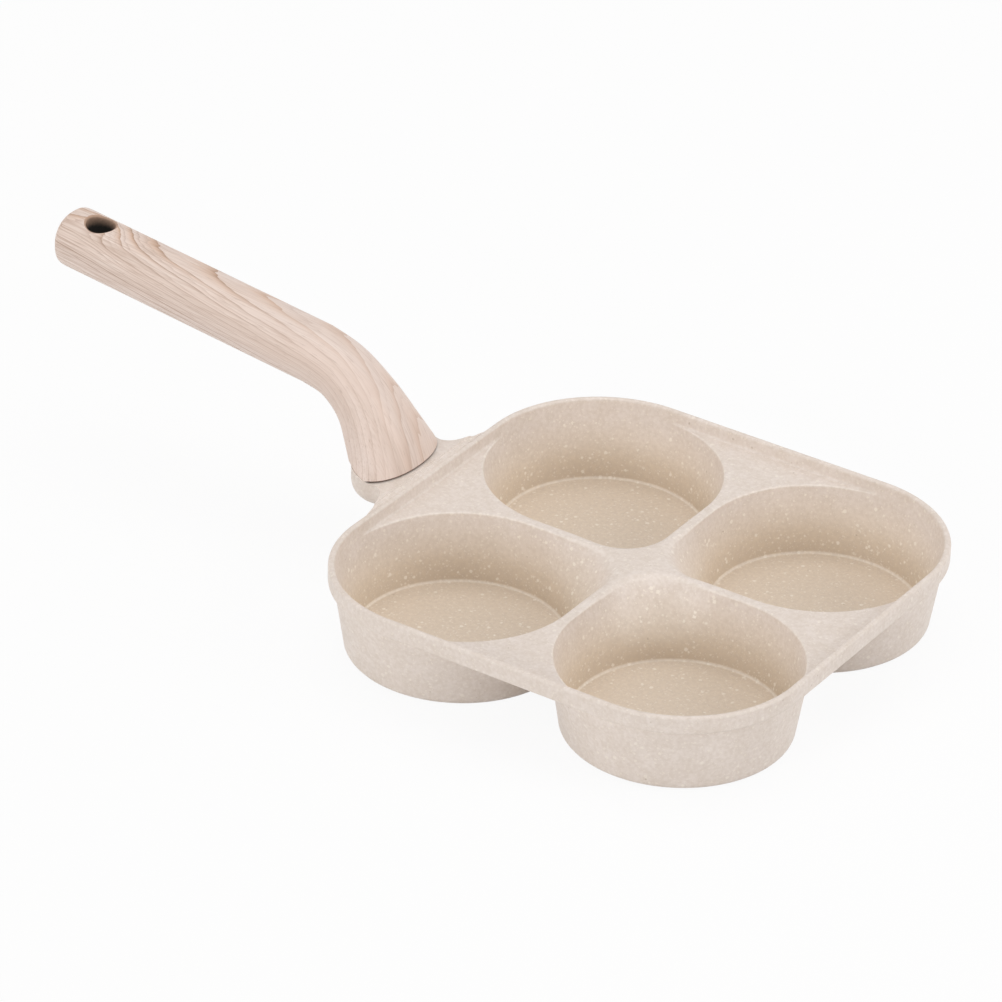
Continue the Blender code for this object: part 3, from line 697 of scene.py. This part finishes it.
alone(casting)
bpy.ops.object.transform_apply(location=True, rotation=True, scale=True)
mark_coating(casting)
casting.data.transform(Matrix.Translation((pan_x, 0, 0)))
finished(casting, stone_coating(), ["pan_casting"])

# The steel discs. Each cup has one pressed into its base, so that the pan heats on an induction hob. Its
# underside is turned flat, and the aluminium shows through the small holes that it is pressed in by.

disc_radius = 0.0380
disc_thickness = 0.0010
disc_edge = 0.0003
disc_sides = 128


def disc_steel():
    """Turned steel with rings of small aluminium spots, centred under each cup."""
    made, shader, start = new_material("disc_steel")
    parts = start.place().parts()
    across = (parts - pan_x).maths("ABSOLUTE") - cup_offset
    along = parts.beside("Y").maths("ABSOLUTE") - cup_offset
    radius = (across * across + along * along) ** 0.5
    ring_gap = 0.0046
    spots_in_first_ring = 6
    spot_radius = 0.00115
    last_ring = 0.0335
    soft = 0.0001
    lines_per_metre = 9000.0
    turned_steel = (0.50, 0.49, 0.48, 1)
    aluminium = (0.72, 0.72, 0.71, 1)
    ring = (radius / ring_gap).maths("ROUND")
    turn = along.maths("ARCTAN2", across) / (2 * math.pi) + 0.5
    spots = ring * spots_in_first_ring
    round_ring = (2 * math.pi) * ring * ring_gap / spots.maths("MAXIMUM", 1)
    off_spot = ((turn * spots).maths("FRACT") - 0.5) * round_ring
    off_ring = radius - ring * ring_gap
    from_spot = (off_spot * off_spot + off_ring * off_ring) ** 0.5
    past_last = radius.held(last_ring, last_ring + soft)
    spot = from_spot.held(spot_radius + soft, spot_radius - soft) * (1 - past_last)
    turned_lines = start.node("ShaderNodeTexNoise", {"W": radius, "Scale": lines_per_metre, "Detail": 3.0},
                              {"noise_dimensions": "1D"})
    feed(shader, {"Base Color": spot.blend(turned_steel, aluminium), "Metallic": 1.0,
                  "Roughness": 0.26 + turned_lines * 0.14 + spot * 0.1,
                  "Normal": turned_lines.relief(0.3, 0.00002)})
    return made


def turned_disc(name, axis_x, axis_y):
    """A turned disc with an eased lower edge, extruded and resized from ring to ring."""
    rings = []
    profile = ((disc_radius - disc_edge, 0), (disc_radius, disc_edge), (disc_radius, disc_thickness))
    for radius, height in profile:
        rings.append([Vector((axis_x + radius * math.cos(2 * math.pi * index / disc_sides),
                              axis_y + radius * math.sin(2 * math.pi * index / disc_sides), height))
                      for index in range(disc_sides)])
    return drawn_out(name, rings)


steel_of_discs = disc_steel()
for quarter, side_x, side_y in (("front_left", -1, -1), ("front_right", 1, -1), ("rear_left", -1, 1),
                                ("rear_right", 1, 1)):
    disc = turned_disc(f"disc_{quarter}", pan_x + side_x * cup_offset, side_y * cup_offset)
    finished(disc, steel_of_discs, [f"induction_disc_{quarter}"])

# The handle. One heat-proof moulding, solid through its bend and foot, with a printed wood-grain film over
# all of it but its end face and the hang hole's inside. It stands on the seat, and one screw from below holds
# it.

grip_tilt = math.radians(6.9)
grip_half_width = 0.0138
grip_half_thickness = 0.01215
grip_squareness = 2.3
grip_end_reach = 0.1807
grip_end_dome = 0.0058
end_squareness = 5.0
hole_radius = 0.0064
hole_from_tip = 0.0150
# The bend's rows: reach from the foot's middle, rise from the seat, tilt in degrees, half width, half depth
# and squareness.
bend = [(0.0400, 0.0367, 6.9, 0.0130, 0.0127, 2.3), (0.0266, 0.0325, 26, 0.0132, 0.0122, 2.3),
        (0.0152, 0.0234, 46, 0.0149, 0.0124, 2.25), (0.0069, 0.0118, 66, 0.0190, 0.0133, 2.2)]
bend_out = foot_out + bend[0][0]
bend_height = seat_height + bend[0][1]
grip_sides = 96


def handle_ring(out, height, tilt, half, depth, squareness):
    """One ring of the handle: an oval across it, tilted as the handle runs there."""
    centre = Vector((-half_width - out, 0, height))
    depth_way = Vector((math.sin(tilt), 0, math.cos(tilt)))
    ring = []
    for index in range(grip_sides):
        angle = 2 * math.pi * index / grip_sides
        wide = half * math.copysign(abs(math.cos(angle)) ** (2 / squareness), math.cos(angle))
        deep = depth * math.copysign(abs(math.sin(angle)) ** (2 / squareness), math.sin(angle))
        ring.append(centre + Vector((0, -wide, 0)) + depth_way * deep)
    return ring


def grip_height(out):
    """The straight grip's middle line above the table."""
    return bend_height + (out - bend_out) * math.tan(grip_tilt)


def handle_stations():
    """Sections from the tip to the foot: reach, height, tilt, half width, half depth and squareness."""
    stations = []
    dome_steps = 16
    first_turn = 8
    for step in range(dome_steps):
        turn = math.radians(first_turn + (90 - first_turn) * step / dome_steps)
        size = math.sin(turn) ** (2 / end_squareness)
        back = grip_end_dome * math.cos(turn) ** (2 / end_squareness)
        stations.append((grip_end_reach + back * math.cos(grip_tilt),
                         grip_height(grip_end_reach) + back * math.sin(grip_tilt), 0.0,
                         grip_half_width * size, grip_half_thickness * size, grip_squareness))
    straight_steps = 48
    for step in range(straight_steps):
        share = step / straight_steps
        out = grip_end_reach + (bend_out - grip_end_reach) * share
        half = grip_half_width + (bend[0][3] - grip_half_width) * share
        depth = grip_half_thickness + (bend[0][4] - grip_half_thickness) * share
        stations.append((out, grip_height(out), grip_tilt, half, depth, grip_squareness))
    keys = [(foot_out + out, seat_height + rise, tilt, *oval) for out, rise, tilt, *oval in bend]
    below_seat = 0.006
    for height in (seat_height, seat_height - below_seat):
        keys.append((foot_out, height, 90, foot_half_width, foot_half_depth, foot_squareness))
    bend_steps = 70
    for step in range(bend_steps + 1):
        out, height, tilt, *oval = between(keys, (len(keys) - 1) * step / bend_steps)
        stations.append((out, height, math.radians(tilt), *oval))
    return stations


def growth_lines(growth, spacing):
    """Lines in the grain: how far each has grown toward its dark edge, and its own strength."""
    year = growth / spacing
    strength = growth.node("ShaderNodeTexWhiteNoise", {"W": year.maths("FLOOR")}, {"noise_dimensions": "1D"})
    return year.maths("FRACT"), strength


def wood_grain_film():
    """A printed film of pale pinkish wood. Its lines run off the handle's near side and swirl round the hang
    hole, and they meet in warm arches along its far upper side. Its lengths are millimetres."""
    made, shader, start = new_material("wood_grain_film")
    heart_across = -21.0
    heart_up = -62.0
    arches_from = 73.0
    arches_until = 78.0
    hole_along = 15.0
    swirl_stretch = 0.35
    swirl_fall = -0.012
    swirl_depth = 5.0
    run_off = 0.082
    line_spacing = 2.6
    fine_spacing = 0.87
    place = start.kept("grain", "Vector").scaled(to_millimetres)
    stretched = place.scaled((0.11, 1.0, 1.0))
    sway = stretched.noise(11.0, 2.0) * 2.8 + stretched.noise(3.0, 2.0) * 0.9
    parts = place.parts()
    across = parts.beside("Y") - heart_across
    up = parts.beside("Z") - heart_up
    from_heart = (across * across + up * up) ** 0.5
    past_hole = parts - hole_along
    from_hole = past_hole * past_hole * swirl_stretch + parts.beside("Y") * parts.beside("Y")
    swirl = (from_hole * swirl_fall).maths("EXPONENT") * swirl_depth
    growth = from_heart + parts * run_off + sway - swirl
    age, strength = growth_lines(growth, line_spacing)
    edge = age ** 8.0
    fine_age, fine_strength = growth_lines(growth + stretched.noise(1.5, 1.0) * 0.5, fine_spacing)
    fine_edge = fine_age ** 3.0
    toward_foot = parts.held(20.0, 150.0)
    bold = 1.6 - toward_foot * 1.2
    arches = from_heart.held(arches_from, arches_until)
    streak = place.scaled((0.03, 1.0, 1.0)).noise(0.55, 2.0).held(0.50, 0.70)
    pale_streak = place.scaled((0.04, 1.0, 1.0)).noise(0.80, 2.0).held(0.50, 0.70)
    pore = place.scaled((0.09, 1.0, 1.0)).noise(0.50, 2.0).held(0.62, 0.74)
    knot = flecks(place.scaled((0.5, 1.0, 1.0)), 9.0, 0.30, 0.50, 0.22)
    blush = stretched.noise(11.0, 1.0).held(0.3, 0.7)
    band = place.scaled((0.05, 1.0, 1.0)).noise(6.0, 2.0).held(0.47, 0.68)
    tint = blush.blend(colour(226, 210, 201), colour(228, 208, 196))
    tint = tint.toward(colour(204, 184, 170), band * 0.42)
    tint = tint.toward(colour(212, 188, 172), age ** 2.0 * 0.18)
    tint = tint.toward(colour(218, 176, 142), age ** 3.0 * arches * bold * 0.70)
    tint = tint.toward(colour(240, 228, 219), pale_streak * (0.40 - toward_foot * 0.20))
    tint = tint.toward(colour(192, 168, 152), streak * (0.80 - toward_foot * 0.52))
    tint = tint.toward(colour(176, 147, 129), fine_edge * fine_strength.held(0.40, 1.0) * bold * 0.62)
    tint = tint.toward(colour(154, 121, 99), edge * (strength * 0.6 + 0.4) * (bold * 0.85).held())
    tint = tint.toward(colour(160, 134, 118), pore * 0.32)
    tint = tint.toward(colour(160, 128, 106), knot * 0.6)
    feed(shader, {"Base Color": tint, "Roughness": 0.46 + streak * 0.08,
                  "Normal": (0 - edge * 0.6 - pore).relief(0.25, 0.00005), "IOR": 1.46})
    return made


def bare_moulding(name, start_colour, end_colour):
    """The moulding where the film leaves it bare. Its colour changes toward the handle's middle."""
    made, shader, start = new_material(name)
    place = start.kept("grain", "Vector").scaled(to_millimetres)
    mottle = place.noise(1.2, 3.0)
    from_middle = place.parts().beside("Z").maths("ABSOLUTE")
    tint = (from_middle + mottle * 2.0).held(7.5, 13.0).blend(end_colour, start_colour)
    feed(shader, {"Base Color": tint, "Roughness": 0.55 + mottle * 0.1,
                  "Normal": mottle.relief(0.2, 0.00005)})
    return made


film = wood_grain_film()
core = bare_moulding("bare_foot_end", colour(112, 88, 74), colour(96, 75, 62))
hole_wall = bare_moulding("hang_hole_wall", colour(186, 154, 132), colour(42, 40, 38))
stations = handle_stations()
handle = drawn_out("handle_surface", [handle_ring(*station) for station in stations])
handle.data.materials.append(film)

# The film stops short of the seat, and the bare moulding below it stands back, which leaves a dark line.
line_height = 0.0006
line_depth = 0.0004
line_lip_gap = 0.00006
foot_stations = 24
bare_rings = []
for out, height, tilt, half, deep, squareness in stations[-foot_stations:]:
    bare_rings.append(handle_ring(out, height, tilt, half - line_depth, deep - line_depth, squareness))
bare_end = drawn_out("bare_end", bare_rings)
trimmer = seat_prism("film_edge", small_gap + line_height, line_lip_gap, False)
trimmer.data.materials.append(core)
bare_end.data.materials.append(core)
combine(trimmer, bare_end, "DIFFERENCE")
combine(handle, trimmer, "DIFFERENCE")
below_end = seat_prism("below_end", small_gap, hair, False)
below_end.data.materials.append(core)
combine(handle, below_end, "DIFFERENCE")

hole_out = grip_end_reach + grip_end_dome - hole_from_tip


def hole_ring(radius, depth, side):
    """A ring of the hang hole's cutter, at a depth below the grip's surface on its upper or lower side."""
    ring = []
    sides = 72
    for index in range(sides):
        angle = 2 * math.pi * index / sides
        along = radius * math.cos(angle)
        across = radius * math.sin(angle)
        share = abs(across) / grip_half_width
        surface = grip_half_thickness * (1 - share ** grip_squareness) ** (1 / grip_squareness)
        ring.append(Vector((along, across, side * (surface - depth))))
    return ring


lip = 0.0011
lip_turns = (0, 16, 32, 48, 64, 78)
clear_aside = 0.0002
clear_over = 0.0020
lip_rings = [(hole_radius + lip * (1 - math.cos(math.radians(turn))),
              lip * (1 - math.sin(math.radians(turn)))) for turn in lip_turns]
lip_rings.append((lip_rings[-1][0] + clear_aside, -clear_over))
hole_rings = [hole_ring(radius, depth, -1) for radius, depth in reversed(lip_rings)]
hole_rings += [hole_ring(radius, depth, 1) for radius, depth in lip_rings]
hole_cutter = drawn_out("hang_hole", hole_rings)
hole_cutter.data.transform(Matrix.Translation((-half_width - hole_out, 0, grip_height(hole_out)))
                           @ Matrix.Rotation(grip_tilt, 4, "Y"))
hole_cutter.data.materials.append(hole_wall)
combine(handle, hole_cutter, "DIFFERENCE")


def straightened(made):
    """Keep each point's place as if the handle were straight, for the grain: along, across and up."""
    lines = []
    run = 0.0
    last = None
    for out, height, tilt, *_ in stations:
        centre = Vector((-half_width - out, 0, height))
        run += (centre - last).length if last else 0.0
        last = centre
        lines.append((centre, Vector((math.cos(tilt), 0, -math.sin(tilt))),
                      Vector((math.sin(tilt), 0, math.cos(tilt))), run))
    grain = made.data.attributes.new("grain", "FLOAT_VECTOR", "POINT")
    for index, vertex in enumerate(made.data.vertices):
        point = vertex.co
        ahead = [(point - centre).dot(forward) for centre, forward, _, _ in lines]
        after = next((number for number, distance in enumerate(ahead) if distance <= 0), len(lines) - 1)
        before = max(0, after - 1)
        if after == before or ahead[before] <= ahead[after]:
            share = 0.0
        else:
            share = max(0.0, ahead[before] / (ahead[before] - ahead[after]))
        centre = lines[before][0].lerp(lines[after][0], share)
        up = lines[before][2].lerp(lines[after][2], share)
        along = lines[before][3] + (lines[after][3] - lines[before][3]) * share
        grain.data[index].vector = (along, point.y, (point - centre).dot(up))


socket_radius = 0.0043
socket_top = 0.0548
bored(handle, "insert_socket", socket_radius, washer_face, socket_top)
straightened(handle)
handle.data.transform(Matrix.Translation((pan_x, 0, 0)))
finished(handle, None, ["handle_grip"], sharp=math.radians(40))

# The screw, its split washer and flat washer, and the brass insert in the handle's foot. They stand on one
# upright axis through the seat, and only the screw's head and the washers show, from below.


def plain_metal(name, base, roughness):
    """A fastener's metal, with fine drawing marks round it."""
    made, shader, start = new_material(name)
    marks = start.place().scaled(to_millimetres).scaled((1.0, 1.0, 8.0)).noise(1.0, 3.0)
    tint = marks.blend(base, tuple(0.85 * value for value in base))
    feed(shader, {"Base Color": tint, "Metallic": 1.0, "Roughness": roughness + marks * 0.1,
                  "Normal": marks.relief(0.2, 0.00002)})
    return made


fastener_steel = plain_metal("fastener_steel", (0.62, 0.61, 0.60, 1.0), 0.24)
insert_brass = plain_metal("insert_brass", (0.78, 0.60, 0.32, 1.0), 0.28)
for name, finish in (("handle_screw", fastener_steel), ("plain_washer", fastener_steel),
                     ("spring_washer", fastener_steel), ("threaded_insert", insert_brass)):
    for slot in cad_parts[name].material_slots:
        slot.material = finish

# The studio: a pale floor that keeps a faint shadow, a white surround, and soft lamps over the pan, in front
# of it and to its right.

floor_half = 3.0
shadow_share = 0.08


def seen_white(start):
    """One for rays that see the surround, straight or by way of a piece, and zero for those that light."""
    path = start.node("ShaderNodeLightPath", {})
    return (path + path.beside("Is Glossy Ray") + path.beside("Is Transmission Ray")).held()


def pale_floor():
    """White where a ray sees it straight or in a reflection, with a share of its real light and shadow."""
    made = bpy.data.materials.new("pale_floor")
    made.use_nodes = True
    tree = made.node_tree
    tree.nodes.remove(tree.nodes["Principled BSDF"])
    start = Socket(tree)
    matt = start.node("ShaderNodeBsdfDiffuse", {"Color": (0.84, 0.84, 0.84, 1)})
    white = start.node("ShaderNodeEmission", {"Color": (1, 1, 1, 1), "Strength": 1.0})
    shown = start.node("ShaderNodeMixShader", {0: seen_white(start) * (1 - shadow_share), 1: matt, 2: white})
    tree.links.new(shown.output, tree.nodes["Material Output"].inputs["Surface"])
    return made


bpy.ops.object.select_all(action="DESELECT")
bpy.ops.mesh.primitive_plane_add(size=2 * floor_half, location=(0, 0, 0))
floor = bpy.context.object
floor.name = "floor"
floor.data.materials.append(pale_floor())

world = bpy.data.worlds.new("studio")
bpy.context.scene.world = world
world.use_nodes = True
world_start = Socket(world.node_tree)
around = world_start.node("ShaderNodeBackground", {"Color": (1, 0.99, 0.985, 1), "Strength": 0.52})
white = world_start.node("ShaderNodeBackground", {"Color": (1, 1, 1, 1), "Strength": 1.0})
shown = world_start.node("ShaderNodeMixShader", {0: seen_white(world_start), 1: around, 2: white})
world.node_tree.links.new(shown.output, world.node_tree.nodes["World Output"].inputs["Surface"])


def lamp(name, place, target, size, power, tint):
    """A square soft lamp that looks at a point."""
    data = bpy.data.lights.new(name, "AREA")
    data.shape = "SQUARE"
    data.size = size
    data.energy = power
    data.color = tint
    made = bpy.data.objects.new(name, data)
    bpy.context.collection.objects.link(made)
    made.location = place
    made.rotation_euler = (Vector(target) - Vector(place)).to_track_quat("-Z", "Y").to_euler()


pan_middle = (pan_x, 0, 0.02)
lamp("overhead_lamp", (pan_x - 0.2, 0.25, 1.6), pan_middle, 1.4, 8.6, (1.0, 0.985, 0.98))
lamp("front_lamp", (pan_x - 0.7, -3.5, 1.0), pan_middle, 1.2, 43.0, (1.0, 0.995, 0.985))
lamp("right_lamp", (pan_x + 1.6, 0.5, 0.8), pan_middle, 1.0, 10.6, (1.0, 0.99, 0.985))

# The camera stands where the photograph was taken from: low, at the pan's front right, with a long lens.
camera_turn = math.radians(33.39)
camera_rise = math.radians(30.42)
camera_roll = math.radians(1.47)
camera_distance = 2.4126
camera_aside = 0.0571
camera_below = 0.0359
sensor = 36.0
picture_side = 1002
focal_pixels = 5860.6

camera_data = bpy.data.cameras.new("camera")
camera_data.sensor_width = sensor
camera_data.lens = focal_pixels * sensor / picture_side
camera_data.clip_end = 20.0
camera = bpy.data.objects.new("camera", camera_data)
bpy.context.collection.objects.link(camera)
camera.matrix_world = (Matrix.Translation(pan_middle)
                       @ Matrix.Rotation(camera_turn, 4, "Z")
                       @ Matrix.Rotation(math.pi / 2 - camera_rise, 4, "X")
                       @ Matrix.Rotation(camera_roll, 4, "Z")
                       @ Matrix.Translation((-camera_aside, camera_below, camera_distance)))
bpy.context.scene.camera = camera
bpy.context.scene.view_settings.view_transform = "Standard"
